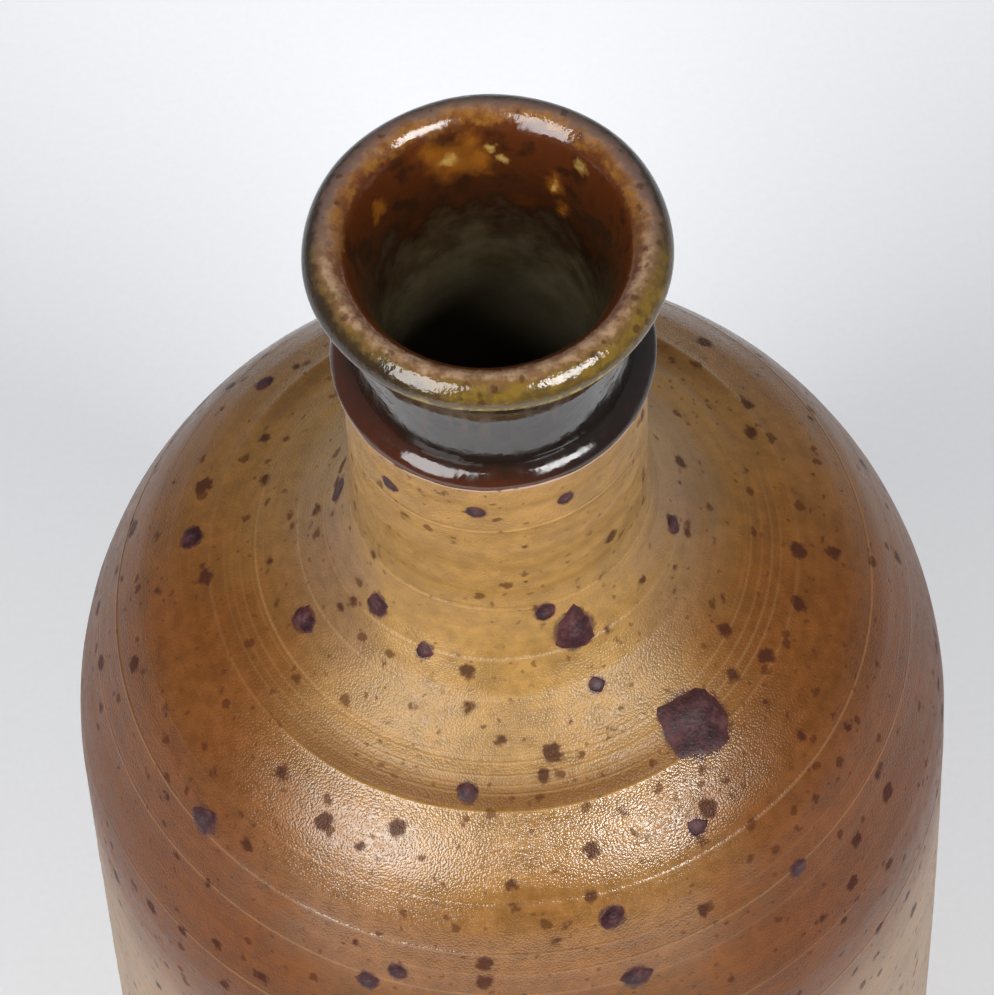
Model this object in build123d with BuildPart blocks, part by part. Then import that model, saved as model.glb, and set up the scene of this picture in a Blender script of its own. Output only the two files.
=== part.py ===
from build123d import *
from math import acos, asin, cos, degrees, radians, sin, tan
import os

# A wheel-thrown stoneware bottle vase, in millimetres.
# The origin is the centre of the foot and +Z is the axis of the pot. -Y is the side that faces the viewer.

# Vessel: wall, floor and foot
body_radius = 60.0        # outside, at the widest circle
belly_height = 117.0      # the widest circle above the foot
wall_taper = 1.0          # how much narrower the foot is than the widest circle
wall = 4.6                # clay thickness of wall, shoulder and neck
floor_thickness = 7.0
floor_corner = 12.0       # rounding inside, where the wall meets the floor
foot_bevel = 2.0          # turned edge round the foot

# Shoulder: a round dome, a tighter crown and a short cone up to the neck
shoulder_radius = body_radius    # the dome is part of a ball about the axis
dome_turn = 30.0          # degrees that the dome turns from upright
crown_radius = 27.0
cone_slope = 30.0         # degrees that the cone rises from level
seam_run = 3.0            # from the end of the crown to the seam where the neck is luted on

# Neck
neck_radius = 19.6        # outside
neck_sweep = 21.6         # hollow curve from the cone up into the neck
neck_length = 26.0        # straight part, from that curve to the lower edge of the collar

# Collar and groove
groove_depth = 1.7        # how far the neck is turned in above the collar's seat
collar_proud = 1.2        # how far the collar stands out from the neck
collar_bulge = 3.0        # radius of its rounded face

# Rolled lip: its roundings from below to the mouth, and which way the surface faces where one turns into
# the next, in degrees up from straight out
lip_start = 12.3          # where the groove begins to turn out, above the collar's lower edge
lip_flare = 16.0          # hollow curve under the lip
lip_flare_turn = 45.0     # degrees that it turns out
lip_edge = 1.0            # lower edge
face_start = 20.0
lip_face = 3.5            # outer face
crest_start = 65.0
lip_crest = 1.2           # crest
crest_end = 115.0
mouth_rounding = 3.9      # inner side
mouth_end = 155.0         # where the mouth begins to narrow into the throat

# Glaze and iron spots
glaze = 0.5               # thickness of both glaze coats
spot_depth = 1.0          # how deep a nodule sits in the clay
spot_rise = 0.35          # how far it stands proud
spot_edge = 0.25          # rounding of its rim

# Nodules near the seam: degrees round from the front, run up the outer face from the seam, and radius
shoulder_spots = [
    (40, 2.5, 4.8),
    (23, 22.5, 2.9),
    (14, 26.9, 1.4),
    (24, 13.9, 1.1),
    (-28, 19.5, 1.1),
    (-10, 2.2, 1.4),
    (-49, 21.8, 1.6),
    (-66, 11.4, 1.8),
    (-96, 23.6, 1.7),
    (79, 20.7, 1.3),
    (30, -9.0, 1.3),
    (13, -16.4, 1.7),
    (15, -27.0, 1.9),
    (42, -24.0, 1.3),
    (-18, -25.0, 1.3),
    (-22, -28.0, 1.5),
    (-53, -18.3, 2.1),
    (-98, -3.4, 1.7),
    (-134, -5.0, 1.3),
]

# Nodules high on the neck: degrees round from the front, drop from the collar's lower edge, and radius
neck_spots = [
    (-46, 8.0, 1.3),
    (-10, 6.9, 1.3),
    (25, 7.5, 1.1),
]

# Angles and levels that follow from these sizes
crown_turn = 90 - dome_turn - cone_slope
sweep_turn = 90 - cone_slope
bow_radius = ((belly_height - foot_bevel) ** 2 + wall_taper ** 2) / (2 * wall_taper)
throat_radius = neck_radius - wall
groove_radius = neck_radius - groove_depth
seam_length = shoulder_radius * radians(dome_turn) + crown_radius * radians(crown_turn) + seam_run


def crown_end(inset):
    """Top of the crown, on the line that lies inset inside the outer face."""
    cone_normal = radians(90 - cone_slope)
    dome_normal = radians(dome_turn)
    r = body_radius - shoulder_radius + (shoulder_radius - crown_radius) * cos(dome_normal)
    z = belly_height + (shoulder_radius - crown_radius) * sin(dome_normal)
    return (r + (crown_radius - inset) * cos(cone_normal), z + (crown_radius - inset) * sin(cone_normal))


def seam_point(inset):
    r, z = crown_end(inset)
    return (r - seam_run * cos(radians(cone_slope)), z + seam_run * sin(radians(cone_slope)))


def sweep_start(inset):
    """Where the cone ends and the hollow curve of the neck begins."""
    r = neck_radius - inset + (neck_sweep + inset) * (1 - cos(radians(sweep_turn)))
    seam_r, seam_z = seam_point(inset)
    return (r, seam_z + (seam_r - r) * tan(radians(cone_slope)))


neck_root = sweep_start(0)[1] + neck_sweep * sin(radians(sweep_turn))
collar_level = neck_root + neck_length
lip_level = collar_level + lip_start


def reach(centre, distance, facing):
    """Point at a distance from a centre, in the direction of a surface that faces that many degrees up."""
    return (centre[0] + distance * cos(radians(facing)), centre[1] + distance * sin(radians(facing)))


# Centres of the lip's roundings, and the radius of the long curve that narrows the mouth to the throat
edge_centre = reach((groove_radius + lip_flare, lip_level), lip_flare + lip_edge, 180 - lip_flare_turn)
face_centre = reach(edge_centre, lip_edge - lip_face, face_start)
crest_centre = reach(face_centre, lip_face - lip_crest, crest_start)
mouth_centre = reach(crest_centre, lip_crest - mouth_rounding, crest_end)
funnel_top = reach(mouth_centre, mouth_rounding, mouth_end)
funnel_radius = (funnel_top[0] - throat_radius) / (1 + cos(radians(mouth_end)))


def coat_joint(coat):
    """Inner end of the crest, where the glaze coats meet, on a surface that lies coat outside the clay."""
    return reach(crest_centre, lip_crest + coat, crest_end)


def shoulder_line(inset):
    """Dome, crown and cone, from the widest circle up to the seam."""
    dome = JernArc((body_radius - inset, belly_height), (0, 1), shoulder_radius - inset, dome_turn)
    crown = JernArc(dome @ 1, dome % 1, crown_radius - inset, crown_turn)
    Line(crown @ 1, seam_point(inset))


def neck_line(inset):
    """Cone and hollow curve, from the seam up to where the neck is upright."""
    cone = Line(seam_point(inset), sweep_start(inset))
    JernArc(cone @ 1, cone % 1, neck_sweep + inset, -sweep_turn)


def wall_line():
    """Outer wall from the widest circle down, the turned foot edge, and the foot face."""
    drop = degrees(asin((belly_height - foot_bevel) / bow_radius))
    outside = JernArc((body_radius, belly_height), (0, -1), bow_radius, -drop)
    foot = Line(outside @ 1, ((outside @ 1).X - foot_bevel, 0))
    Line(foot @ 1, (0, 0))


def cavity_line(inset):
    """Inner wall, rounded corner and floor, at a distance inside the outer face."""
    coat = inset - wall
    corner = floor_corner - coat
    level = floor_thickness + coat
    drop = degrees(asin((belly_height - level - corner) / (bow_radius - inset - corner)))
    inside = JernArc((body_radius - inset, belly_height), (0, -1), bow_radius - inset, -drop)
    rounding = JernArc(inside @ 1, inside % 1, corner, drop - 90)
    Line(rounding @ 1, (0, level))


def mouth_line(coat):
    """Inside of the mouth, from the crest down to the straight throat and on to the hollow curve."""
    inner = CenterArc(mouth_centre, mouth_rounding + coat, crest_end, mouth_end - crest_end)
    funnel = JernArc(inner @ 1, inner % 1, funnel_radius + coat, 180 - mouth_end)
    Line(funnel @ 1, (throat_radius - coat, neck_root))


def lip_line(coat):
    """The lip from the groove to the end of its crest, on a surface that lies coat outside the clay."""
    JernArc((groove_radius + coat, lip_level), (0, 1), lip_flare - coat, -lip_flare_turn)
    CenterArc(edge_centre, lip_edge + coat, -lip_flare_turn, lip_flare_turn + face_start)
    CenterArc(face_centre, lip_face + coat, face_start, crest_start - face_start)
    CenterArc(crest_centre, lip_crest + coat, crest_start, crest_end - crest_start)


def collar_turn(coat):
    """Degrees that the collar's face turns before it meets the groove."""
    return degrees(acos(1 - (collar_proud + groove_depth) / (collar_bulge + coat)))


def collar_top(coat):
    return collar_level + (collar_bulge + coat) * sin(radians(collar_turn(coat)))


def collar_line(coat):
    """Rounded outer face of the collar, from its lower edge up to the groove."""
    edge = (neck_radius + collar_proud + coat, collar_level)
    JernArc(edge, (0, 1), collar_bulge + coat, collar_turn(coat))


# Outer face that carries the nodules, from the widest circle up
with BuildLine(Plane.XZ) as outer_face:
    shoulder_line(0)
    neck_line(0)
    Line((neck_radius, neck_root), (neck_radius, collar_level))


def spot_places():
    """Every nodule: degrees round from the front, run up the outer face from its start, and radius."""
    top = outer_face.wire().length
    on_shoulder = [(azimuth, seam_length + rise, radius) for azimuth, rise, radius in shoulder_spots]
    on_neck = [(azimuth, top - drop, radius) for azimuth, drop, radius in neck_spots]
    return on_shoulder + on_neck


def spot_plane(azimuth, run):
    """Plane on the outer face, with its normal pointing out of the clay."""
    path = outer_face.wire()
    turn = azimuth - 90
    point = path.position_at(run, position_mode=PositionMode.LENGTH)
    along = path.tangent_at(run, position_mode=PositionMode.LENGTH)
    normal = Vector(along.Z, 0, -along.X)
    return Plane(
        origin=point.rotate(Axis.Z, turn),
        x_dir=along.rotate(Axis.Z, turn),
        z_dir=normal.rotate(Axis.Z, turn),
    )


def spot_pockets():
    """Cut the nodules' seats into the part being built. One across the seam is seated in both parts."""
    for azimuth, run, radius in spot_places():
        with Locations(spot_plane(azimuth, run)):
            Cylinder(radius, 2 * spot_depth, mode=Mode.SUBTRACT)


os.makedirs("parts", exist_ok=True)

# Thrown lower vessel: floor, wall and shoulder, open at the seam
with BuildPart() as body:
    with BuildSketch(Plane.XZ):
        with BuildLine():
            wall_line()
            shoulder_line(0)
            Line(seam_point(0), seam_point(wall))
            shoulder_line(wall)
            cavity_line(wall)
            Line((0, floor_thickness), (0, 0))
        make_face()
    revolve(axis=Axis.Z)
    spot_pockets()
body.part.label = "body"
export_step(body.part, "parts/body.step")

# Upper shoulder, neck, groove and rolled lip, luted on at the seam
with BuildPart() as neck:
    with BuildSketch(Plane.XZ):
        with BuildLine():
            neck_line(0)
            Polyline(
                (neck_radius, neck_root),
                (neck_radius, collar_level),
                (groove_radius, collar_level),
                (groove_radius, lip_level),
            )
            lip_line(0)
            mouth_line(0)
            neck_line(wall)
            Line(seam_point(wall), seam_point(0))
        make_face()
    revolve(axis=Axis.Z)
    spot_pockets()
neck.part.label = "neck"
export_step(neck.part, "parts/neck.step")

# Coil of clay luted into the groove of the neck, with a flat underside that overhangs its seat
with BuildPart() as collar_ring:
    with BuildSketch(Plane.XZ):
        with BuildLine():
            collar_line(0)
            Line((groove_radius, collar_top(0)), (groove_radius, collar_level))
            Line((groove_radius, collar_level), (neck_radius + collar_proud, collar_level))
        make_face()
    revolve(axis=Axis.Z)
collar_ring.part.label = "collar_ring"
export_step(collar_ring.part, "parts/collar_ring.step")

# Poured glaze: a coat over the whole inside, from the rolled lip to the floor
with BuildPart() as lining_glaze:
    with BuildSketch(Plane.XZ):
        with BuildLine():
            for coat in (0, glaze):
                mouth_line(coat)
                neck_line(wall + coat)
                shoulder_line(wall + coat)
                cavity_line(wall + coat)
            Line(coat_joint(0), coat_joint(glaze))
            Line((0, floor_thickness), (0, floor_thickness + glaze))
        make_face()
    revolve(axis=Axis.Z)
lining_glaze.part.label = "lining_glaze"
export_step(lining_glaze.part, "parts/lining_glaze.step")

# Dipped glaze: a coat over the lip, the groove and the collar, down to the collar's lower edge
with BuildPart() as neck_glaze:
    with BuildSketch(Plane.XZ):
        with BuildLine():
            for coat in (0, glaze):
                collar_line(coat)
                Line((groove_radius + coat, collar_top(coat)), (groove_radius + coat, lip_level))
                lip_line(coat)
            Line(coat_joint(0), coat_joint(glaze))
            collar_edge = neck_radius + collar_proud
            Line((collar_edge, collar_level), (collar_edge + glaze, collar_level))
        make_face()
    revolve(axis=Axis.Z)
neck_glaze.part.label = "neck_glaze"
export_step(neck_glaze.part, "parts/neck_glaze.step")

# Iron nodules, each in its own seat, standing a little proud of the clay
with BuildPart() as iron_spots:
    for azimuth, run, radius in spot_places():
        with Locations(spot_plane(azimuth, run).offset(-spot_depth)):
            Cylinder(radius, spot_depth + spot_rise, align=(Align.CENTER, Align.CENTER, Align.MIN))
    rings = [spot.edges().filter_by(GeomType.CIRCLE) for spot in iron_spots.solids()]
    fillet([ring.sort_by_distance((0, 0, 0))[-1] for ring in rings], spot_edge)
iron_spots.part.label = "iron_spots"
export_step(iron_spots.part, "parts/iron_spots.step")
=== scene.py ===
import bpy
import numpy as np
from math import acos, cos, pi, radians, sin, tan
from mathutils import Matrix, Vector


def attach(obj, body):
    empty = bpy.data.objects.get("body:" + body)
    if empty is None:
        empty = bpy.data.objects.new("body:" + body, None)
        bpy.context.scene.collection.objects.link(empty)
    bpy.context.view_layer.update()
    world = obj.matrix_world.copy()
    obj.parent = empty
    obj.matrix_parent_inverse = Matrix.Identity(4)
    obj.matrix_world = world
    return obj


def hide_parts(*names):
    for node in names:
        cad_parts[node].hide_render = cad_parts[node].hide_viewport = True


# A wheel-thrown stoneware bottle vase. Sizes are in millimetres until a mesh is made.
# -Y is the side that faces the viewer, and a turn of 0 degrees is that side.

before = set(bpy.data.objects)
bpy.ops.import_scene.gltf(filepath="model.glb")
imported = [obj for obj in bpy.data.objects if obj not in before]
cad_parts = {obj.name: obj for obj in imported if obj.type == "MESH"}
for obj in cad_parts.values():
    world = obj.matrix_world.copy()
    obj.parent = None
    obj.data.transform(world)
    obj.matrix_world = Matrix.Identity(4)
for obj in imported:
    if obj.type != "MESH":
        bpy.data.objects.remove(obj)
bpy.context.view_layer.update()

METRE = 0.001

# Sizes of the part
body_radius = 60.0
belly_height = 117.0
wall_taper = 1.0
wall = 4.6
floor_thickness = 7.0
floor_corner = 12.0
foot_bevel = 2.0
shoulder_radius = body_radius
dome_turn = 30.0
crown_radius = 27.0
cone_slope = 30.0
seam_run = 3.0
neck_radius = 19.6
neck_sweep = 21.6
neck_length = 26.0
groove_depth = 1.7
collar_proud = 1.2
collar_bulge = 3.0
lip_start = 12.3
lip_flare = 16.0
lip_flare_turn = 45.0
lip_edge = 1.0
face_start = 20.0
lip_face = 3.5
crest_start = 65.0
lip_crest = 1.2
crest_end = 115.0
mouth_rounding = 3.9
mouth_end = 155.0
glaze = 0.5

# Angles, centres and levels that follow from them
crown_turn = 90 - dome_turn - cone_slope
sweep_turn = 90 - cone_slope
bow_radius = ((belly_height - foot_bevel) ** 2 + wall_taper ** 2) / (2 * wall_taper)
throat_radius = neck_radius - wall
groove_radius = neck_radius - groove_depth
crown_centre = np.array((
    body_radius - shoulder_radius + (shoulder_radius - crown_radius) * cos(radians(dome_turn)),
    belly_height + (shoulder_radius - crown_radius) * sin(radians(dome_turn)),
))
cone_along = np.array((-cos(radians(cone_slope)), sin(radians(cone_slope))))
cone_normal = np.array((sin(radians(cone_slope)), cos(radians(cone_slope))))
seam_point = crown_centre + crown_radius * cone_normal + seam_run * cone_along
sweep_radius = neck_radius + neck_sweep * (1 - cos(radians(sweep_turn)))
sweep_level = seam_point[1] + (seam_point[0] - sweep_radius) * tan(radians(cone_slope))
neck_root = sweep_level + neck_sweep * sin(radians(sweep_turn))
collar_level = neck_root + neck_length
lip_level = collar_level + lip_start
seam_length = shoulder_radius * radians(dome_turn) + crown_radius * radians(crown_turn) + seam_run


def reach(centre, distance, facing):
    """Point at a distance from a centre, in the direction of a surface that faces that many degrees up."""
    return (centre[0] + distance * cos(radians(facing)), centre[1] + distance * sin(radians(facing)))


flare_centre = (groove_radius + lip_flare, lip_level)
edge_centre = reach(flare_centre, lip_flare + lip_edge, 180 - lip_flare_turn)
face_centre = reach(edge_centre, lip_edge - lip_face, face_start)
crest_centre = reach(face_centre, lip_face - lip_crest, crest_start)
mouth_centre = reach(crest_centre, lip_crest - mouth_rounding, crest_end)
funnel_top = reach(mouth_centre, mouth_rounding, mouth_end)
funnel_radius = (funnel_top[0] - throat_radius) / (1 + cos(radians(mouth_end)))
funnel_level = funnel_top[1] - funnel_radius * sin(radians(mouth_end))


# Paths: rows of (radius, height) points

def line(start, end, step):
    """Points from one place to another, about a step apart."""
    start = np.array(start, float)
    end = np.array(end, float)
    count = max(1, round(np.linalg.norm(end - start) / step))
    return np.linspace(start, end, count + 1)


def arc(centre, radius, start, end, step):
    """Points along an arc, from one angle to another in degrees."""
    count = max(2, round(abs(radians(end - start)) * radius / step))
    angles = np.radians(np.linspace(start, end, count + 1))
    return np.column_stack((centre[0] + radius * np.cos(angles), centre[1] + radius * np.sin(angles)))


def join(*stretches):
    """One path from stretches that meet end to end, with each shared point kept once."""
    path = [stretches[0]]
    for stretch in stretches[1:]:
        meets = np.linalg.norm(path[-1][-1] - stretch[0]) < 1e-6
        path.append(stretch[1:] if meets else stretch)
    return np.vstack(path)


def lengths(path):
    """Distance along a path at each of its points."""
    steps = np.linalg.norm(np.diff(path, axis=0), axis=1)
    return np.concatenate(([0.0], np.cumsum(steps)))


def normals(path):
    """Unit normal at each point, to the right of the way along the path."""
    along = np.gradient(path, axis=0)
    along /= np.linalg.norm(along, axis=1)[:, None]
    return np.column_stack((along[:, 1], -along[:, 0]))


def shoulder_path(inset, step):
    """From the widest circle up over the dome, the crown and the cone to the seam."""
    seam = seam_point - inset * cone_normal
    return join(
        arc((body_radius - shoulder_radius, belly_height), shoulder_radius - inset, 0, dome_turn, step),
        arc(crown_centre, crown_radius - inset, dome_turn, dome_turn + crown_turn, step),
        line(seam - seam_run * cone_along, seam, step),
    )


def neck_path(inset, step):
    """From the seam up the cone and the hollow curve to where the neck is upright."""
    centre = (neck_radius + neck_sweep, neck_root)
    hollow = arc(centre, neck_sweep + inset, 180 + sweep_turn, 180, step)
    return join(line(seam_point - inset * cone_normal, hollow[0], step), hollow)


def wall_path(inset, low, step):
    """From a level near the foot up the wall to the widest circle."""
    centre = (body_radius - bow_radius, belly_height)
    start = -np.degrees(np.arcsin((belly_height - low) / (bow_radius - inset)))
    return arc(centre, bow_radius - inset, start, 0, step)


def inside_path(coat, step):
    """From the middle of the floor up the inside to the top of the hollow curve of the neck."""
    inset = wall + coat
    level = floor_thickness + coat
    corner = floor_corner - coat
    upright = wall_path(inset, level + corner, step)
    corner_centre = upright[0] - np.array((corner, 0))
    return join(
        line((0, level), corner_centre - np.array((0, corner)), step),
        arc(corner_centre, corner, -90, 0, step),
        upright,
        shoulder_path(inset, step),
        neck_path(inset, step),
    )


def mouth_path(coat, step):
    """From the bottom of the straight throat up to the inner end of the lip's crest."""
    centre = (throat_radius + funnel_radius, funnel_level)
    return join(
        line((throat_radius - coat, neck_root), (throat_radius - coat, funnel_level), step),
        arc(centre, funnel_radius + coat, 180, mouth_end, step),
        arc(mouth_centre, mouth_rounding + coat, mouth_end, crest_end, step),
    )


def lip_path(coat, step):
    """From the groove up the hollow curve under the lip and over the lip to the end of its crest."""
    return join(
        arc(flare_centre, lip_flare - coat, 180, 180 - lip_flare_turn, step),
        arc(edge_centre, lip_edge + coat, -lip_flare_turn, face_start, step),
        arc(face_centre, lip_face + coat, face_start, crest_start, step),
        arc(crest_centre, lip_crest + coat, crest_start, crest_end, step),
    )


def bead_path(coat, start, step):
    """Rounded face of the collar, from a little above its lower edge up to the groove."""
    bulge = collar_bulge + coat
    centre = (neck_radius + collar_proud - collar_bulge, collar_level)
    first = np.degrees(np.arcsin(start / bulge))
    last = np.degrees(acos(1 - (collar_proud + groove_depth) / bulge))
    return arc(centre, bulge, first, last, step)


def collar_path(coat, start, step):
    """Rounded face of the collar and the groove above it."""
    bead = bead_path(coat, start, step)
    return join(bead, line(bead[-1], (groove_radius + coat, lip_level), step))


# The outer face as a function of its run, which is 0 at the widest circle and grows upwards

OUTER_STEP = 0.05
outer_wall = wall_path(0, foot_bevel, OUTER_STEP)
outer_path = join(
    outer_wall,
    shoulder_path(0, OUTER_STEP),
    neck_path(0, OUTER_STEP),
    line((neck_radius, neck_root), (neck_radius, collar_level), OUTER_STEP),
)
outer_runs = lengths(outer_path) - lengths(outer_wall)[-1]
outer_normals = normals(outer_path)
foot_run = outer_runs[0]
collar_run = outer_runs[-1]


def outer(run, table):
    """Value of a two-column table of the outer face, at given runs."""
    return np.interp(run, outer_runs, table[:, 0]), np.interp(run, outer_runs, table[:, 1])


def smooth_step(low, high, value):
    """0 at low, 1 at high, and a smooth rise between."""
    share = np.clip((value - low) / (high - low), 0, 1)
    return share * share * (3 - 2 * share)


# Rings left by the thrower's tools: run, rise, half width, and the turn in degrees where each is plainest.
# Each is a raised line with a scored line above it.
SEAM_RING = (seam_length, 0.12, 0.22, 0)
ring_lines = [
    SEAM_RING,
    (50.9, 0.03, 0.16, 15),
    (52.1, 0.03, 0.16, 25),
    (53.5, 0.03, 0.16, 5),
    (55.2, 0.03, 0.16, 20),
    (56.0, 0.025, 0.18, -60),
    (63.0, 0.025, 0.18, -50),
    (68.3, 0.06, 0.20, -10),
    (76.5, 0.07, 0.20, 0),
    (96.5, 0.07, 0.20, 10),
    (36.2, 0.06, 0.18, 75),
    (28.6, 0.07, 0.18, -70),
    (25.2, 0.03, 0.18, 60),
    (21.5, 0.03, 0.20, -50),
    (9.0, 0.03, 0.25, -20),
    (-6.0, 0.07, 0.35, 100),
    (-24.0, 0.07, 0.40, -120),
    (-50.0, 0.07, 0.50, 30),
    (-82.0, 0.07, 0.50, 170),
]

# The clay dips just above the seam. The dip follows share * (1 - share) ** 2, which is greatest at a third.
HOLLOW_DEPTH = 0.45
HOLLOW_LENGTH = 18.0
HOLLOW_SCALE = 27 / 4    # makes the greatest value of that shape 1

# Waves left by the thrower's hands: their rise, and the run from one to the next
SPIRAL_RISE = 0.06
SPIRAL_PITCH = 7.3
RIPPLE_RISE = 0.03
RIPPLE_PITCH = 3.1


def wander(level, turn):
    """How far a thrown ring strays up the face. The seam and both ends stay level."""
    kept = smooth_step(0, 6, abs(level - seam_length)) * smooth_step(0, 6, collar_run - level)
    kept = kept * smooth_step(0, 8, level - foot_run)
    return kept * (0.45 * np.sin(turn + level / 9) + 0.15 * np.sin(3 * turn + level / 5))


def rings(level, turn):
    """Height of the thrown rings, and how far each point lies on a raised line, from 0 to 1."""
    height = 0.0
    crest = 0.0
    for ring in ring_lines:
        place, rise, half_width, plainest = ring
        offset = (level - place) / half_width
        if ring is SEAM_RING:
            strength = 0.2 + 0.8 * np.cos(turn / 2) ** 8
        else:
            strength = 0.15 + 0.85 * np.cos((turn - radians(plainest)) / 2) ** 6
        raised = strength * np.exp(-(offset + 1) ** 2)
        scored = strength * np.exp(-(offset - 1) ** 2)
        height = height + rise * (raised - scored)
        crest = np.maximum(crest, raised)
    return height, crest


# Iron nodules: degrees round from the front, run up the outer face, radius, stretch and tilt of its outline
nodules = [
    (40, seam_length + 2.5, 4.8, 1.05, 30),
    (23, seam_length + 22.5, 2.9, 1.15, 80),
    (14, seam_length + 26.9, 1.4, 1.0, 0),
    (24, seam_length + 13.9, 1.1, 1.0, 0),
    (-28, seam_length + 19.5, 1.1, 1.0, 0),
    (-10, seam_length + 2.2, 1.4, 1.2, 0),
    (-49, seam_length + 21.8, 1.6, 1.2, 30),
    (-66, seam_length + 11.4, 1.8, 1.2, 0),
    (-96, seam_length + 23.6, 1.7, 1.4, 90),
    (79, seam_length + 20.7, 1.3, 1.0, 0),
    (30, seam_length - 9.0, 1.3, 1.2, 0),
    (13, seam_length - 16.4, 1.7, 1.2, 40),
    (15, seam_length - 27.0, 1.9, 1.3, 0),
    (42, seam_length - 24.0, 1.3, 1.0, 0),
    (-18, seam_length - 25.0, 1.3, 1.1, 0),
    (-22, seam_length - 28.0, 1.5, 1.2, 20),
    (-53, seam_length - 18.3, 2.1, 1.2, 60),
    (-98, seam_length - 3.4, 1.7, 1.1, 0),
    (-134, seam_length - 5.0, 1.3, 1.0, 0),
    (-46, collar_run - 8.0, 1.3, 1.1, 0),
    (-10, collar_run - 6.9, 1.3, 1.1, 0),
    (25, collar_run - 7.5, 1.1, 1.0, 0),
]


def under_nodules(run, turn):
    """1 under an iron nodule, where the rings have melted away, and 0 beyond its edge."""
    covered = 0.0
    for azimuth, level, radius, _, _ in nodules:
        level_radius, _ = outer(level, outer_path)
        across = level_radius * (turn - radians(azimuth))
        covered = np.maximum(covered, smooth_step(1.4 * radius, 1.1 * radius, np.hypot(across, run - level)))
    return covered


def relief(run, turn):
    """How far the thrown surface stands off the plain outer face, in millimetres."""
    level = run - wander(run, turn)
    plain = 0.3 + 0.7 * smooth_step(20, 55, run)
    spiral = SPIRAL_RISE * plain * np.sin(2 * pi * run / SPIRAL_PITCH - turn + 0.5 * np.sin(2 * turn))
    ripple = RIPPLE_RISE * plain * np.sin(2 * pi * run / RIPPLE_PITCH + turn + 0.8 * np.sin(3 * turn + 1.0))
    sway = 0.12 * np.sin(2 * turn + run / 31) + 0.08 * np.sin(3 * turn - run / 23 + 2.0)
    height, _ = rings(level, turn)
    height = height * (1 - under_nodules(run, turn))
    above = np.clip((run - seam_length) / HOLLOW_LENGTH, 0, 1)
    hollow = HOLLOW_DEPTH * HOLLOW_SCALE * above * (1 - above) ** 2
    return (height + spiral + ripple + sway - hollow) * smooth_step(foot_run, foot_run + 8, run)


def around(radius, height, turn):
    """Points in space from radius, height and turn from the front."""
    return np.stack((radius * np.sin(turn), -radius * np.cos(turn), height + 0 * turn), axis=-1)


def on_surface(run, turn, lift):
    """Points in space that stand a lift off the thrown surface."""
    radius, height = outer(run, outer_path)
    out, up = outer(run, outer_normals)
    off = relief(run, turn) + lift
    return around(radius + out * off, height + up * off, turn)


# Meshes

SHARP_ANGLE = radians(40)    # edges that turn more than this stay crisp


def make_piece(name, points, faces, values, uvs, material):
    """A smooth closed mesh from points in millimetres, tied to the frame as the stand-in for its node."""
    mesh = bpy.data.meshes.new(name)
    mesh.from_pydata((points * METRE).tolist(), [], faces)
    for value_name, numbers in values.items():
        attribute = mesh.attributes.new(value_name, "FLOAT", "POINT")
        attribute.data.foreach_set("value", np.ascontiguousarray(numbers, np.float32))
    layer = mesh.uv_layers.new(name="OFBake")
    layer.data.foreach_set("uv", np.ascontiguousarray(uvs, np.float32).ravel())
    mesh.materials.append(material)
    mesh.shade_smooth()
    mesh.set_sharp_from_angle(angle=SHARP_ANGLE)
    piece = bpy.data.objects.new(name, mesh)
    bpy.context.scene.collection.objects.link(piece)
    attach(piece, "root")
    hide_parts(name.removesuffix("_look"))
    return piece


def lathe(name, grid, values, material, poles):
    """A turned piece from a grid of points, rows along the profile and columns round the axis.

    With poles, the first and last rows lie on the axis and become one point each.
    Without, the last row joins the first. Each value is a column or a grid of numbers for the points.
    """
    rows, columns = grid.shape[:2]
    along = np.concatenate(([0.0], np.cumsum(np.linalg.norm(np.diff(grid[:, 0], axis=0), axis=1))))
    if not poles:
        along = np.append(along, along[-1] + np.linalg.norm(grid[0, 0] - grid[-1, 0]))
    along /= along[-1]
    points = grid.reshape(-1, 3)
    numbers = {key: np.broadcast_to(value, (rows, columns)).ravel() for key, value in values.items()}
    last_row = (rows - 1) * columns
    faces = []
    uvs = []
    for row in range(rows - 1 if poles else rows):
        above = (row + 1) % rows
        for column in range(columns):
            following = (column + 1) % columns
            left = column / columns
            right = (column + 1) / columns
            corners = [
                (row * columns + column, left, along[row]),
                (row * columns + following, right, along[row]),
                (above * columns + following, right, along[row + 1]),
                (above * columns + column, left, along[row + 1]),
            ]
            if poles and row == 0:
                corners = [(0, left, along[0])] + corners[2:]
            elif poles and row == rows - 2:
                corners = corners[:2] + [(last_row, right, along[row + 1])]
            faces.append([corner[0] for corner in corners])
            uvs.extend(corner[1:] for corner in corners)
    if poles:
        kept = np.ones(len(points), bool)
        kept[1:columns] = False
        kept[last_row + 1:] = False
        places = np.cumsum(kept) - 1
        points = points[kept]
        numbers = {key: value[kept] for key, value in numbers.items()}
        faces = [[int(places[corner]) for corner in face] for face in faces]
    return make_piece(name, points, faces, numbers, uvs, material)


def turns(columns):
    """Turns from the front, evenly round the axis, as one row."""
    return np.linspace(-pi, pi, columns, endpoint=False)[None, :]


def turned(path, turn, lift=0.0):
    """Rows of a path turned round the axis, at a lift off it to the right of its way."""
    off = normals(path)
    return around(path[:, :1] + off[:, :1] * lift, path[:, 1:] + off[:, 1:] * lift, turn)


def column(numbers):
    """Numbers as one column, with a number for each row of a grid."""
    return np.asarray(numbers, float)[:, None]


HIDDEN_STEP = 4.0     # between the rows of a surface that no view shows
BODY_COLUMNS = 256    # of the body and the lining
NECK_COLUMNS = 320    # of the neck, the collar and their glaze


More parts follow.
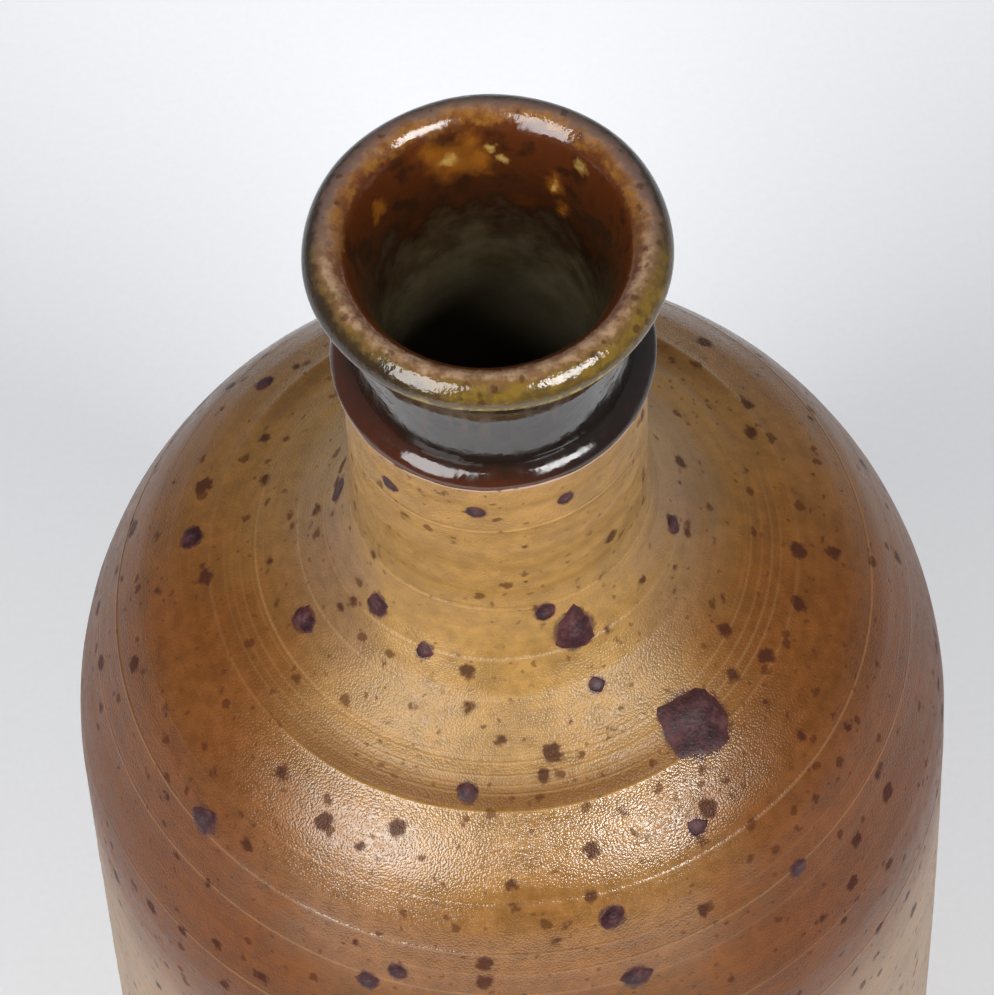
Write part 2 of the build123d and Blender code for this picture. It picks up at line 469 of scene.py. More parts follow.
def face_rows(low, high, spacing):
    """Levels for the rows of a thrown face: evenly spaced, and close together across each ring."""
    levels = np.arange(low, high, spacing)
    for place, _, half_width, _ in ring_lines:
        levels = levels[abs(levels - place) > 3.2 * half_width]
    across = [place + half_width * np.arange(-3, 3.1, 0.5) for place, _, half_width, _ in ring_lines]
    levels = np.unique(np.concatenate((levels, *across)))
    return np.concatenate(([low], levels[(levels > low + 0.05) & (levels < high - 0.05)], [high]))


def thrown_rows(levels, turn):
    """Points of the thrown face at the given levels, and how far each lies on a raised line."""
    run = column(levels) + wander(column(levels), turn)
    _, crest = rings(column(levels), turn)
    return on_surface(run, turn, 0), crest


def make_body(material):
    """The vessel: foot, thrown outer face up to the seam, and the plain inside under the lining."""
    turn = turns(BODY_COLUMNS)
    levels = face_rows(foot_run, seam_length, 1.0)
    face, crest = thrown_rows(levels, turn)
    foot = join(line((0, 0), (outer_path[0, 0] - foot_bevel, 0), HIDDEN_STEP), outer_path[:1])[:-1]
    inside = inside_path(0, HIDDEN_STEP)
    inside = inside[inside[:, 1] <= seam_point[1] - wall * cone_normal[1] + 1e-6][::-1]
    rows = np.concatenate((turned(foot, turn), face, turned(inside, turn)))
    run = np.concatenate((np.full(len(foot), foot_run), levels, np.full(len(inside), foot_run)))
    ridge = np.zeros(rows.shape[:2])
    ridge[len(foot):len(foot) + len(levels)] = crest
    values = {"run": column(run), "ridge": ridge}
    return lathe("body_look", rows, values, material, poles=True)


def make_neck(material):
    """The neck: thrown outer face from the seam to the collar, and the plain clay under the glaze."""
    turn = turns(NECK_COLUMNS)
    levels = face_rows(seam_length, collar_run, 0.7)
    face, crest = thrown_rows(levels, turn)
    upper = join(
        line((groove_radius, collar_level), (groove_radius, lip_level), HIDDEN_STEP),
        lip_path(0, 1.0),
        mouth_path(0, HIDDEN_STEP)[::-1],
        neck_path(wall, HIDDEN_STEP)[::-1],
    )
    rows = np.concatenate((face, turned(upper, turn)))
    run = np.concatenate((levels, np.full(len(upper), collar_run)))
    ridge = np.zeros(rows.shape[:2])
    ridge[:len(levels)] = crest
    values = {"run": column(run), "ridge": ridge}
    return lathe("neck_look", rows, values, material, poles=False)


COLLAR_EDGE = 0.3    # rounding of the collar's lower edge
COLLAR_BARE = 2.0    # run beyond the neck's own face that marks the bare clay of the collar


def make_collar(material):
    """The coil under the lip, with a rounded and slightly uneven lower edge."""
    turn = turns(NECK_COLUMNS)
    corner_centre = (neck_radius + collar_proud - COLLAR_EDGE, collar_level + COLLAR_EDGE)
    profile = join(
        line((groove_radius, collar_level), (corner_centre[0], collar_level), 0.3),
        arc(corner_centre, COLLAR_EDGE, -90, 0, 0.08),
        bead_path(0, COLLAR_EDGE, 0.3),
    )
    rows = turned(profile, turn)
    rows[:, :, 2] += 0.05 * np.sin(5 * turn + 1) + 0.04 * np.sin(11 * turn)
    values = {"run": collar_run + COLLAR_BARE, "ridge": 0.0}
    return lathe("collar_ring_look", rows, values, material, poles=False)


GLAZE_END = 0.7      # how far above the collar's lower edge the glaze ends
GLAZE_TAPER = 0.9    # length over which it thins out there
GLAZE_FILM = 0.04    # its thickness at the very end


def make_neck_glaze(material):
    """The dipped coat over collar, groove and lip, drawn thin at its lower end."""
    turn = turns(NECK_COLUMNS)
    outside = join(collar_path(glaze, GLAZE_END, 0.2), lip_path(glaze, 0.2))
    clay_side = join(collar_path(0, GLAZE_END, 0.8), lip_path(0, 0.6))[::-1]
    up = column(lengths(outside))
    down = up[-1] - up
    thin = (GLAZE_FILM - glaze) * smooth_step(GLAZE_TAPER, 0, up)
    uneven = 0.06 * np.sin(3 * turn + up / 4) + 0.05 * np.sin(7 * turn - up / 3 + 1.0)
    uneven = uneven * smooth_step(0, 4, up) * smooth_step(0, 5, down)
    rows = np.concatenate((turned(outside, turn, thin + uneven), turned(clay_side, turn)))
    sag = 0.15 * np.sin(4 * turn + 0.6) + 0.10 * np.sin(9 * turn) + 0.05 * np.sin(23 * turn)
    rows[:len(outside), :, 2] += sag * smooth_step(2.5, 0, up)
    run = np.concatenate((down, column(np.linspace(0, down[0, 0], len(clay_side)))))
    return lathe("neck_glaze_look", rows, {"run": run}, material, poles=False)


def make_lining(material):
    """The poured coat inside, from the floor up to the lip's crest."""
    turn = turns(BODY_COLUMNS)
    inside = join(inside_path(glaze, 2.5), mouth_path(glaze, 0.45))
    clay_side = join(inside_path(0, HIDDEN_STEP), mouth_path(0, 2.0))[::-1]
    below = column(lengths(inside) - lengths(inside)[-1])
    uneven = 0.06 * np.sin(3 * turn + below / 6) + 0.04 * np.sin(5 * turn - below / 4)
    uneven = uneven * smooth_step(0, -6, below) * smooth_step(-90, -60, below)
    rows = np.concatenate((turned(inside, turn, -uneven), turned(clay_side, turn)))
    run = np.concatenate((below, column(np.linspace(0, below[0, 0], len(clay_side)))))
    return lathe("lining_glaze_look", rows[::-1], {"run": run[::-1]}, material, poles=True)


NODULE_RISE = 0.13            # of its middle
NODULE_TUCK = 0.05            # how far its rim is sunk into the clay
NODULE_DEPTH = 0.60           # of its underside
NODULE_SIDES = 36
NODULE_CORNERS = (4, 3, 5)    # of the outlines, taken in turn
UV_SIDE = 5                   # the nodules' texture places form a square of this many rows


def nodule_outline(angles, radius, corners, waves):
    """Share of the radius at each angle: a blunt polygon, sharper on large nodules, with waves."""
    half_side = pi / corners
    polygon = cos(half_side) / np.cos(angles % (2 * half_side) - half_side)
    sharp = min(0.2 + 0.12 * radius, 0.5)
    outline = 1 + sharp * (polygon / polygon.mean() - 1) + 0.06 * np.sin(2 * angles + waves[0])
    return outline + 0.045 * np.sin(5 * angles + waves[1]) + 0.03 * np.sin(9 * angles + waves[2])


def make_nodules(material):
    """Low, uneven beads of melted iron, each a closed lens that sits in the surface."""
    chance = np.random.default_rng(7)
    rings_out = np.array((0.25, 0.5, 0.7, 0.85, 0.95, 1.0))
    angles = np.linspace(0, 2 * pi, NODULE_SIDES, endpoint=False)
    points = []
    faces = []
    uvs = []
    rims = []
    for number, (azimuth, run, radius, stretch, tilt) in enumerate(nodules):
        corners = NODULE_CORNERS[number % len(NODULE_CORNERS)]
        outline = nodule_outline(angles, radius, corners, chance.uniform(0, 2 * pi, 3))
        lean = radians(tilt)
        first = len(points)
        spread = [(0.0, 0.0, NODULE_RISE, 0.0)]
        for share in rings_out:
            across = radius * share * outline * np.cos(angles) * stretch ** 0.5
            upward = radius * share * outline * np.sin(angles) / stretch ** 0.5
            lift = NODULE_RISE * (1 - share ** 4) - NODULE_TUCK * (share == 1)
            spread.extend(zip(
                across * cos(lean) - upward * sin(lean),
                across * sin(lean) + upward * cos(lean),
                np.full(NODULE_SIDES, lift),
                np.full(NODULE_SIDES, share),
            ))
        spread.append((0.0, 0.0, -NODULE_DEPTH, 1.0))
        across, upward, lift, rim = np.array(spread).T
        level_radius, _ = outer(run + upward, outer_path)
        points.extend(on_surface(run + upward, radians(azimuth) + across / level_radius, lift))
        rims.append(rim)
        bottom = first + 1 + NODULE_SIDES * len(rings_out)
        for side in range(NODULE_SIDES):
            after = (side + 1) % NODULE_SIDES
            faces.append((first, first + 1 + side, first + 1 + after))
            for ring in range(len(rings_out) - 1):
                inner = first + 1 + ring * NODULE_SIDES
                outward = inner + NODULE_SIDES
                faces.append((inner + side, outward + side, outward + after, inner + after))
            edge = bottom - NODULE_SIDES
            faces.append((edge + side, bottom, edge + after))
        size = radius * 3.0
        corner = np.array((number % UV_SIDE, number // UV_SIDE))
        uvs.append((np.column_stack((across, upward)) / size + 0.5 + corner) / UV_SIDE)
    place = np.concatenate(uvs)
    face_uvs = [place[corner] for face in faces for corner in face]
    values = {"rim": np.concatenate(rims)}
    return make_piece("iron_spots_look", np.array(points), faces, values, face_uvs, material)


# Materials

class Nodes:
    """Short names for making the nodes of one material. Each method gives back an output socket."""

    def __init__(self, name):
        self.material = bpy.data.materials.new(name)
        self.material.use_nodes = True
        self.tree = self.material.node_tree
        self.shader = self.tree.nodes["Principled BSDF"]

    def add(self, kind, **settings):
        node = self.tree.nodes.new(kind)
        for key, value in settings.items():
            setattr(node, key, value)
        return node

    def feed(self, socket, value):
        """Set a socket to a constant, or link it to another socket."""
        if isinstance(value, bpy.types.NodeSocket):
            self.tree.links.new(value, socket)
        elif isinstance(value, tuple) and len(value) == 3 and socket.type == "RGBA":
            socket.default_value = (*value, 1.0)
        else:
            socket.default_value = value

    def vector(self, operation, first, second=None, scale=None):
        node = self.add("ShaderNodeVectorMath", operation=operation)
        self.feed(node.inputs[0], first)
        if second is not None:
            self.feed(node.inputs[1], second)
        if scale is not None:
            self.feed(node.inputs["Scale"], scale)
        return node.outputs["Value"] if operation == "DISTANCE" else node.outputs[0]

    def millimetres(self):
        """Place on the piece, in millimetres."""
        return self.vector("SCALE", self.add("ShaderNodeTexCoord").outputs["Object"], scale=1 / METRE)

    def attribute(self, name):
        return self.add("ShaderNodeAttribute", attribute_name=name).outputs["Fac"]

    def noise_node(self, place, size, detail, roughness):
        node = self.add("ShaderNodeTexNoise")
        self.feed(node.inputs["Vector"], place)
        node.inputs["Scale"].default_value = 1 / size
        node.inputs["Detail"].default_value = detail
        node.inputs["Roughness"].default_value = roughness
        return node

    def noise(self, place, size, detail=2.0, roughness=0.5):
        """Noise whose lumps are about the given size."""
        return self.noise_node(place, size, detail, roughness).outputs[0]

    def strayed(self, place, size, amount):
        """A place moved about by noise, by up to half the amount each way."""
        colour = self.noise_node(place, size, 2.0, 0.5).outputs[1]
        move = self.vector("SCALE", self.vector("SUBTRACT", colour, (0.5, 0.5, 0.5)), scale=amount)
        return self.vector("ADD", place, move)

    def axis(self, place, name):
        node = self.add("ShaderNodeSeparateXYZ")
        self.feed(node.inputs[0], place)
        return node.outputs[name]

    def round_and_up(self, place, run, squeeze):
        """A place for marks drawn out round the axis: squeezed level, with the run as its height."""
        node = self.add("ShaderNodeCombineXYZ")
        self.feed(node.inputs[0], self.times(self.axis(place, "X"), squeeze))
        self.feed(node.inputs[1], self.times(self.axis(place, "Y"), squeeze))
        self.feed(node.inputs[2], run)
        return node.outputs[0]

    def remap(self, value, low, high, to_low=0.0, to_high=1.0):
        """A smooth change from one value to another as the input goes from low to high."""
        node = self.add("ShaderNodeMapRange", interpolation_type="SMOOTHSTEP")
        for socket, given in zip(node.inputs, (value, low, high, to_low, to_high)):
            self.feed(socket, given)
        return node.outputs[0]

    def maths(self, operation, first, second=0.0):
        node = self.add("ShaderNodeMath", operation=operation)
        self.feed(node.inputs[0], first)
        self.feed(node.inputs[1], second)
        return node.outputs[0]

    def plus(self, first, second):
        return self.maths("ADD", first, second)

    def times(self, first, second):
        return self.maths("MULTIPLY", first, second)

    def between(self, value, low, high, soft):
        """1 where the value lies between low and high, and 0 outside, with soft edges."""
        rise = self.remap(value, low - soft, low + soft)
        return self.times(rise, self.remap(value, high + soft, high - soft))

    def near(self, place, point, full, none):
        """1 within one distance of a point, falling to 0 at another."""
        return self.remap(self.vector("DISTANCE", place, point), none, full)

    def sway(self, noise, amount):
        """Noise as a change either way, of up to half the amount."""
        return self.times(self.maths("SUBTRACT", noise, 0.5), amount)

    def mix(self, share, first, second):
        node = self.add("ShaderNodeMix", data_type="RGBA")
        self.feed(node.inputs["Factor"], share)
        self.feed(node.inputs[6], first)
        self.feed(node.inputs[7], second)
        return node.outputs[2]

    def dim(self, colour, factor):
        return self.vector("SCALE", colour, scale=factor)

    def ramp(self, value, stops):
        """Colour by value, from stops of (place, colour)."""
        node = self.add("ShaderNodeValToRGB")
        self.feed(node.inputs[0], value)
        elements = node.color_ramp.elements
        while len(elements) < len(stops):
            elements.new(1.0)
        for element, (place, colour) in zip(elements, stops):
            element.position = place
            element.color = (*colour, 1.0)
        return node.outputs[0]

    def bands(self, length, stops):
        """Colour by a length in millimetres, from stops of (length, colour)."""
        low = stops[0][0]
        span = stops[-1][0] - low
        share = self.maths("DIVIDE", self.maths("SUBTRACT", length, low), span)
        return self.ramp(share, [((place - low) / span, colour) for place, colour in stops])

    def specks(self, place, size, widest, rarity, soft):
        """Scattered round specks, 1 inside and 0 outside. Their radius goes up to widest, in millimetres."""
        node = self.add("ShaderNodeTexVoronoi")
        self.feed(node.inputs["Vector"], place)
        node.inputs["Scale"].default_value = 1 / size
        parts = self.add("ShaderNodeSeparateColor")
        self.feed(parts.inputs[0], node.outputs["Color"])
        radius = self.remap(parts.outputs[0], rarity, 1.0, 0.0, widest / size)
        inside = self.maths("SUBTRACT", radius, node.outputs["Distance"])
        return self.remap(inside, -soft / size, soft / size)

    def pebbles(self, place, size):
        """Rounded grains of about the given size, highest at their middles."""
        node = self.add("ShaderNodeTexVoronoi", feature="SMOOTH_F1")
        self.feed(node.inputs["Vector"], place)
        node.inputs["Scale"].default_value = 1 / size
        node.inputs["Smoothness"].default_value = 0.15
        return self.maths("SUBTRACT", 1.0, node.outputs["Distance"])

    def bump(self, height, distance, strength=1.0, normal=None):
        """Surface detail from a height, with the distance in millimetres."""
        node = self.add("ShaderNodeBump")
        self.feed(node.inputs["Height"], height)
        node.inputs["Strength"].default_value = strength
        node.inputs["Distance"].default_value = distance * METRE
        if normal is not None:
            self.feed(node.inputs["Normal"], normal)
        return node.outputs[0]

    def set(self, name, value):
        self.feed(self.shader.inputs[name], value)


def stoneware():
    """Salt-fired clay: golden on neck and shoulder, rust at the sides, tan down the wall, iron specks."""
    nodes = Nodes("salt_stoneware")
    place = nodes.millimetres()
    run = nodes.attribute("run")
    wide = nodes.noise(place, 28, 3.0, 0.55)
    cloud = nodes.noise(place, 8, 4.0, 0.6)
    mottle = nodes.noise(place, 2.0, 3.0, 0.55)
    grain = nodes.pebbles(place, 0.30)
    streak = nodes.noise(nodes.round_and_up(place, run, 0.06), 0.9, 3.0, 0.6)

    level = nodes.plus(run, nodes.sway(wide, 30))
    colour = nodes.bands(level, [
        (-117, (0.24, 0.145, 0.078)),
        (-50, (0.225, 0.125, 0.058)),
        (-18, (0.135, 0.052, 0.014)),
        (8, (0.110, 0.037, 0.008)),
        (28, (0.165, 0.066, 0.014)),
        (44, (0.235, 0.115, 0.027)),
        (60, (0.265, 0.142, 0.034)),
        (110, (0.270, 0.138, 0.030)),
    ])
    sideways = nodes.maths("ABSOLUTE", nodes.axis(place, "X"))
    sideways = nodes.plus(sideways, nodes.sway(wide, 30))
    sideways = nodes.plus(sideways, nodes.sway(cloud, 14))
    fired = nodes.times(nodes.remap(run, -25, 10), nodes.remap(run, 90, 62))
    rust = nodes.times(nodes.remap(sideways, 16, 40, 0.0, 0.9), fired)
    rust = nodes.times(rust, nodes.remap(nodes.axis(place, "Y"), -10, 25, 1.0, 0.4))
    colour = nodes.mix(rust, colour, (0.115, 0.034, 0.006))
    flank = nodes.times(nodes.remap(sideways, 16, 27, 0.0, 0.6), nodes.remap(run, 55, 66))
    colour = nodes.mix(flank, colour, (0.15, 0.082, 0.045))
    # Painted sheen: the lower sides are made paler, standing in for the pale floor's reflection at a
    # glancing angle.
    lower_side_sheen = nodes.times(nodes.remap(sideways, 26, 44, 0.0, 0.6), nodes.remap(run, 0, -25))
    colour = nodes.mix(lower_side_sheen, colour, (0.33, 0.215, 0.120))
    colour = nodes.dim(colour, nodes.remap(cloud, 0.3, 0.7, 0.88, 1.10))
    colour = nodes.dim(colour, nodes.remap(mottle, 0.3, 0.7, 0.90, 1.08))
    colour = nodes.dim(colour, nodes.remap(streak, 0.3, 0.7, 0.94, 1.05))

    # Painted shade: a darker band just above the seam, where the clay turns away from the lamps. It also
    # dulls the gloss there.
    shade_above_seam = nodes.times(
        nodes.remap(run, seam_length - 0.1, seam_length + 0.4),
        nodes.remap(run, seam_length + 1.0, seam_length + 6.0, 0.85, 0.0),
    )
    shade_above_seam = nodes.times(shade_above_seam, nodes.remap(sideways, 38, 18))
    colour = nodes.mix(shade_above_seam, colour, (0.115, 0.044, 0.008))
    # Painted highlight: the raised ring lines are lightened where they would catch the light.
    ridge_highlight = nodes.times(nodes.attribute("ridge"), 0.22)
    colour = nodes.mix(ridge_highlight, colour, (0.40, 0.25, 0.12))
    bare = nodes.remap(run, collar_run, collar_run + COLLAR_BARE)
    colour = nodes.mix(bare, colour, (0.33, 0.22, 0.16))

    strayed = nodes.strayed(place, 1.2, 1.5)
    specked = 0.0
    for size, widest, rarity, soft, share, tint in (
        (5.0, 1.35, 0.22, 0.35, 0.85, (0.040, 0.013, 0.010)),
        (3.1, 0.80, 0.25, 0.25, 0.68, (0.055, 0.018, 0.009)),
        (1.6, 0.38, 0.20, 0.15, 0.55, (0.070, 0.025, 0.010)),
    ):
        speck = nodes.times(nodes.specks(strayed, size, widest, rarity, soft), share)
        colour = nodes.mix(speck, colour, tint)
        specked = nodes.maths("MAXIMUM", specked, speck)
    for azimuth, level, radius, _, _ in nodules:
        middle = tuple(on_surface(level, radians(azimuth), 0.0))
        stain = nodes.near(strayed, middle, 0.9 * radius, 1.05 * radius + 0.35)
        colour = nodes.mix(nodes.times(stain, 0.85), colour, (0.050, 0.016, 0.009))
    nodes.set("Base Color", colour)

    salted = nodes.times(nodes.remap(run, 14, 32), nodes.remap(run, seam_length + 0.5, seam_length - 0.3))
    salted = nodes.times(salted, nodes.remap(sideways, 44, 22))
    dry = nodes.remap(salted, 0, 1, 0.14, 0.0)
    nodes.set("Roughness", nodes.plus(nodes.remap(mottle, 0.3, 0.7, 0.15, 0.24), dry))
    sheen = nodes.plus(nodes.remap(run, 12, 30, 0.12, 0.42), nodes.remap(salted, 0, 1, 0.0, 0.30))
    sheen = nodes.times(sheen, nodes.remap(rust, 0.0, 0.9, 1.0, 0.45))
    sheen = nodes.times(sheen, nodes.remap(specked, 0.0, 0.8, 1.0, 0.15))
    nodes.set("Specular IOR Level", nodes.times(sheen, nodes.remap(shade_above_seam, 0.0, 0.85, 1.0, 0.4)))
    normal = nodes.bump(streak, 0.02)
    nodes.set("Normal", nodes.bump(grain, 0.06, 1.0, normal))
    return nodes.material


# Places inside the mouth where the glaze ran thin: degrees round from the front, run below the crest,
# and radius
amber_patches = [
    (-157, -4.8, 2.0),
    (-166, -7.0, 2.6),
    (-175, -4.4, 1.5),
    (-178, -7.6, 1.9),
    (145, -9.1, 1.5),
    (-123, -7.0, 1.3),
    (139, -13.0, 1.2),
    (60, -8.0, 1.8),
    (-40, -11.0, 2.0),
]
pale_patches = [
    (-165, -6.8, 0.9),
    (171, -7.2, 0.7),
    (176, -5.9, 0.6),
    (135, -4.0, 1.0),
    (145, -9.4, 0.6),
]


def inside_point(azimuth, run):
    """Point on the lining, in millimetres."""
    path = mouth_path(glaze, 0.1)
    below = lengths(path) - lengths(path)[-1]
    radius = np.interp(run, below, path[:, 0])
    height = np.interp(run, below, path[:, 1])
    return tuple(around(radius, height, np.radians(azimuth)))


def amber_glaze():
    """Dark glossy glaze: black on collar and groove, olive on the lip, mauve on its crest, amber inside."""
    nodes = Nodes("amber_glaze")
    place = nodes.millimetres()
    run = nodes.attribute("run")
    across = nodes.axis(place, "X")
    away = nodes.axis(place, "Y")
    cloud = nodes.noise(place, 5, 3.0, 0.6)
    fleck = nodes.noise(place, 1.1, 3.0, 0.6)
    pits = nodes.noise(place, 0.5, 1.0, 0.5)

    drift = nodes.times(nodes.sway(cloud, 1.0), nodes.remap(run, -14, 0, 22.0, 3.0))
    level = nodes.plus(nodes.plus(run, drift), nodes.sway(fleck, 2.2))
    colour = nodes.bands(level, [
        (-60, (0.20, 0.17, 0.11)),
        (-40, (0.17, 0.14, 0.085)),
        (-30, (0.11, 0.085, 0.045)),
        (-22, (0.045, 0.030, 0.014)),
        (-15, (0.018, 0.007, 0.003)),
        (-9, (0.042, 0.011, 0.003)),
        (-3.5, (0.060, 0.015, 0.004)),
        (-1.5, (0.080, 0.022, 0.006)),
        (0.0, (0.12, 0.046, 0.018)),
        (1.2, (0.13, 0.065, 0.024)),
        (2.6, (0.070, 0.042, 0.012)),
        (5.2, (0.060, 0.038, 0.010)),
        (7.0, (0.035, 0.024, 0.010)),
        (18, (0.012, 0.010, 0.008)),
        (27.5, (0.012, 0.008, 0.006)),
        (30, (0.038, 0.011, 0.005)),
        (32, (0.058, 0.017, 0.007)),
    ])

    front = nodes.remap(nodes.plus(away, nodes.sway(cloud, 12)), 7, -9)
    back = nodes.maths("SUBTRACT", 1.0, front)
    left = nodes.remap(nodes.plus(across, nodes.sway(cloud, 8)), -4, -14)
    right = nodes.remap(nodes.plus(across, nodes.sway(cloud, 8)), 0, 12)
    patchy = nodes.remap(nodes.noise(place, 1.9, 4.0, 0.65), 0.36, 0.64, 0.15, 1.0)
    for low, high, soft, where, share, tint in (
        (-0.4, 1.2, 0.6, nodes.times(patchy, nodes.remap(back, 0, 1, 1.0, 0.4)), 0.85, (0.33, 0.215, 0.125)),
        (0.5, 2.2, 0.6, back, 0.85, (0.110, 0.066, 0.055)),
        (-1.8, -0.2, 0.5, nodes.times(back, patchy), 0.8, (0.22, 0.095, 0.014)),
        (1.7, 3.8, 0.6, nodes.times(front, patchy), 0.75, (0.165, 0.098, 0.014)),
        (5.3, 6.2, 0.4, front, 0.75, (0.28, 0.20, 0.036)),
        # The next band is a painted reflection: mauve-brown just under the lip, on the front only.
        (7.0, 10.5, 1.2, front, 0.6, (0.070, 0.045, 0.032)),
        (2.2, 8.0, 0.8, nodes.maths("MAXIMUM", left, back), 0.88, (0.016, 0.010, 0.007)),
        (27.0, 40.0, 1.0, left, 0.6, (0.045, 0.012, 0.005)),
        (26.0, 40.0, 1.0, right, 0.85, (0.010, 0.008, 0.007)),
    ):
        band = nodes.times(nodes.between(level, low, high, soft), where)
        colour = nodes.mix(nodes.times(band, share), colour, tint)

    drawn = nodes.noise(nodes.vector("MULTIPLY", place, (1.0, 1.0, 0.15)), 1.6, 2.0, 0.5)
    drips = nodes.times(nodes.between(run, 8, 22, 3), nodes.remap(drawn, 0.44, 0.68, 0.0, 0.6))
    colour = nodes.mix(drips, colour, (0.050, 0.032, 0.024))
    burnt = nodes.times(nodes.remap(cloud, 0.46, 0.62, 0.0, 0.8), nodes.between(run, -13, -2.5, 2))
    colour = nodes.mix(burnt, colour, (0.014, 0.006, 0.003))

    strayed = nodes.strayed(nodes.strayed(place, 2.2, 3.0), 0.7, 1.0)
    for patches, tint in ((amber_patches, (0.19, 0.064, 0.007)), (pale_patches, (0.34, 0.22, 0.06))):
        for azimuth, depth, radius in patches:
            share = nodes.near(strayed, inside_point(azimuth, depth), 0.1 * radius, 1.5 * radius)
            colour = nodes.mix(nodes.times(share, 0.75), colour, tint)
    lip = nodes.between(run, -1, 7, 1)
    speck = nodes.times(nodes.specks(nodes.strayed(place, 0.8, 0.8), 1.8, 0.6, 0.3, 0.15), lip)
    colour = nodes.mix(nodes.times(speck, 0.7), colour, (0.045, 0.018, 0.007))
    nodes.set("Base Color", colour)

    nodes.set("Roughness", nodes.remap(drawn, 0.35, 0.7, 0.07, 0.20))
    normal = nodes.bump(drawn, 0.02)
    normal = nodes.bump(cloud, 0.15, 1.0, normal)
    nodes.set("Normal", nodes.bump(nodes.times(pits, lip), 0.04, 1.0, normal))
    return nodes.material


def iron_nodule():
    """Melted iron: dark maroon with a painted greyish sheen in the middle, browner at the rim."""
    nodes = Nodes("iron_nodule")
    place = nodes.millimetres()
    rim = nodes.attribute("rim")
    cloud = nodes.noise(place, 1.8, 4.0, 0.6)
    fine = nodes.noise(place, 0.45, 2.0, 0.6)
    colour = nodes.ramp(cloud, [
        (0.30, (0.014, 0.005, 0.006)),
        (0.52, (0.036, 0.009, 0.010)),
        (0.70, (0.080, 0.027, 0.027)),
    ])
    # Painted reflection: a greyish sheen painted into the middle of each nodule.
    centre_sheen = nodes.times(nodes.remap(rim, 0.6, 0.1), nodes.remap(fine, 0.35, 0.65, 0.05, 0.35))
    colour = nodes.mix(centre_sheen, colour, (0.10, 0.07, 0.075))
    colour = nodes.mix(nodes.remap(rim, 0.80, 1.0, 0.0, 0.7), colour, (0.060, 0.020, 0.011))
    nodes.set("Base Color", colour)
    nodes.set("Roughness", nodes.remap(cloud, 0.3, 0.7, 0.35, 0.55))
    nodes.set("Specular IOR Level", 0.2)
    nodes.set("Normal", nodes.bump(fine, 0.06))
    return nodes.material


def floor_paper():
    """Matt white paper, a little cool."""
    nodes = Nodes("floor_paper")
    fibre = nodes.noise(nodes.millimetres(), 1.2, 3.0, 0.6)
    nodes.set("Base Color", nodes.ramp(fibre, [(0.3, (0.90, 0.91, 0.93)), (0.7, (0.92, 0.93, 0.95))]))
    nodes.set("Roughness", 0.75)
    nodes.set("Specular IOR Level", 0.2)
    return nodes.material


# The vase

stoneware_material = stoneware()
glaze_material = amber_glaze()
make_body(stoneware_material)
make_neck(stoneware_material)
make_collar(stoneware_material)
make_neck_glaze(glaze_material)
make_lining(glaze_material)
make_nodules(iron_nodule())


# The stage, the light and the camera

FLOOR_HALF = 3.0     # half the floor's width, in metres
AIM_HEIGHT = 0.16    # where the lights are aimed, in metres above the floor
WORLD_FADE = 0.7     # how far to the front and the back the brightness of the surroundings changes


def add_floor(material):
    """A wide plain sheet under the vase."""
    half = FLOOR_HALF
    corners = [(-half, -half, 0), (half, -half, 0), (half, half, 0), (-half, half, 0)]
    mesh = bpy.data.meshes.new("floor")
    mesh.from_pydata(corners, [], [(0, 1, 2, 3)])
    mesh.materials.append(material)
    floor = bpy.data.objects.new("floor", mesh)
    bpy.context.scene.collection.objects.link(floor)


def add_softbox(name, azimuth, elevation, distance, width, height, power):
    """A soft rectangular light, placed round the vase from the front and aimed at its shoulder."""
    target = Vector((0, 0, AIM_HEIGHT))
    turn = radians(azimuth)
    rise = radians(elevation)
    away = Vector((sin(turn) * cos(rise), -cos(turn) * cos(rise), sin(rise)))
    light = bpy.data.lights.new(name, "AREA")
    light.shape = "RECTANGLE"
    light.size = width
    light.size_y = height
    light.energy = power
    box = bpy.data.objects.new(name, light)
    box.location = target + distance * away
    box.rotation_euler = away.to_track_quat("Z", "Y").to_euler()
    bpy.context.scene.collection.objects.link(box)


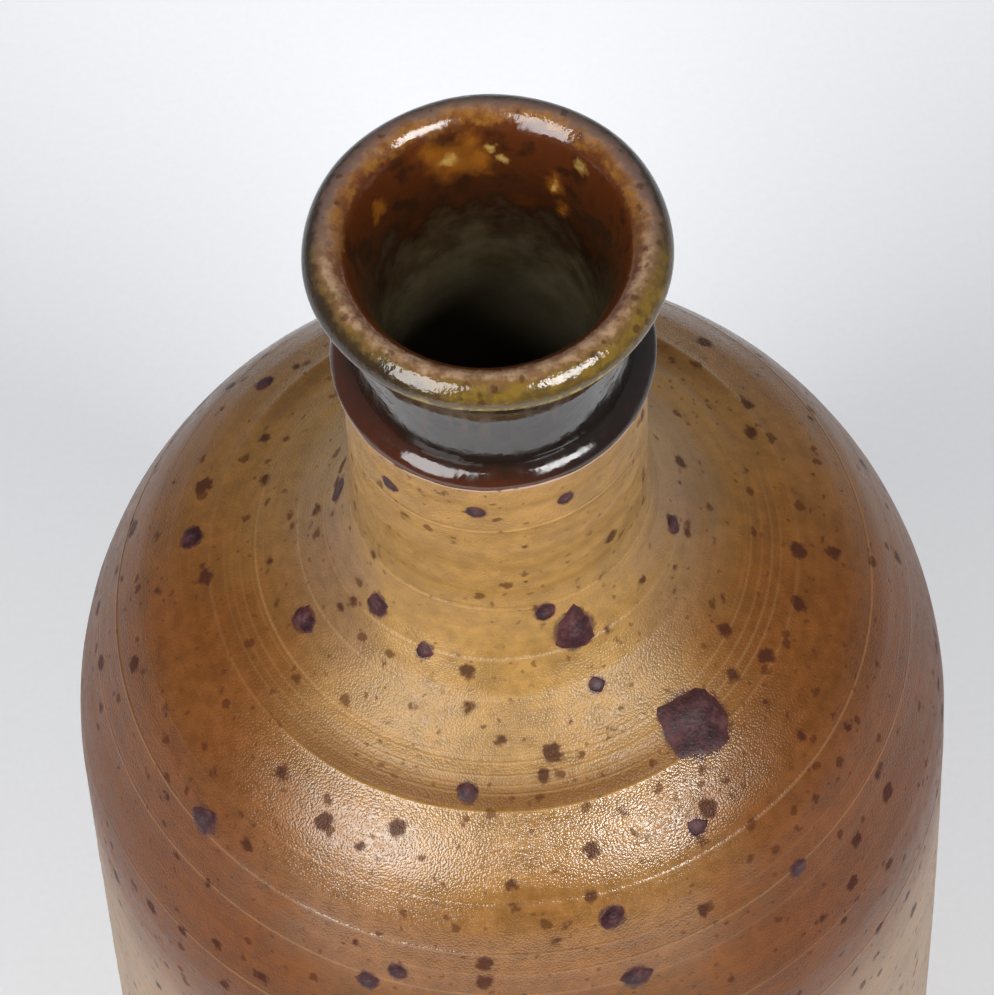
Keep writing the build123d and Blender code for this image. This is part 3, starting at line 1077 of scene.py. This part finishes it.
def set_world(colour, front, back):
    """Pale surroundings that are dimmer in front of the vase than behind it."""
    world = bpy.data.worlds.new("studio")
    world.use_nodes = True
    tree = world.node_tree
    background = tree.nodes["Background"]
    background.inputs["Color"].default_value = (*colour, 1.0)
    direction = tree.nodes.new("ShaderNodeTexCoord")
    parts = tree.nodes.new("ShaderNodeSeparateXYZ")
    shade = tree.nodes.new("ShaderNodeMapRange")
    shade.interpolation_type = "SMOOTHSTEP"
    for socket, value in zip(shade.inputs[1:], (-WORLD_FADE, WORLD_FADE, front, back)):
        socket.default_value = value
    tree.links.new(direction.outputs["Generated"], parts.inputs[0])
    tree.links.new(parts.outputs["Y"], shade.inputs[0])
    tree.links.new(shade.outputs[0], background.inputs["Strength"])
    bpy.context.scene.world = world


# The photograph's view: the widest circle's centre falls on this pixel of the 994 x 995 image
IMAGE_WIDTH = 994
IMAGE_HEIGHT = 995
BELLY_PIXEL = (512, 703)
VIEW_PITCH = radians(59.0)
VIEW_ROLL = radians(-3.1)
VIEW_DISTANCE = 0.99
FOCAL_PIXELS = 7111.5
SENSOR = 36.0


def add_camera():
    """A camera that sees the vase as the photograph does."""
    forward = Vector((0, cos(VIEW_PITCH), -sin(VIEW_PITCH)))
    level = Vector((1, 0, 0))
    upright = Vector((0, sin(VIEW_PITCH), cos(VIEW_PITCH)))
    right = cos(VIEW_ROLL) * level + sin(VIEW_ROLL) * upright
    up = -sin(VIEW_ROLL) * level + cos(VIEW_ROLL) * upright
    across = (BELLY_PIXEL[0] - IMAGE_WIDTH / 2) / FOCAL_PIXELS
    down = (BELLY_PIXEL[1] - IMAGE_HEIGHT / 2) / FOCAL_PIXELS
    ray = forward + across * right - down * up
    data = bpy.data.cameras.new("camera")
    data.sensor_width = SENSOR
    data.lens = FOCAL_PIXELS * SENSOR / max(IMAGE_WIDTH, IMAGE_HEIGHT)
    camera = bpy.data.objects.new("camera", data)
    axes = Matrix((right, up, -forward)).transposed()
    place = Vector((0, 0, belly_height * METRE)) - VIEW_DISTANCE * ray
    camera.matrix_world = Matrix.Translation(place) @ axes.to_4x4()
    bpy.context.scene.collection.objects.link(camera)
    bpy.context.scene.camera = camera


add_floor(floor_paper())
add_softbox("left_softbox", -42, 38, 1.0, 0.50, 0.75, 12.0)
add_softbox("right_softbox", 42, 41, 1.0, 0.45, 0.35, 9.4)
set_world((0.90, 0.92, 0.98), 0.05, 0.30)
add_camera()
bpy.context.scene.view_settings.view_transform = "Standard"
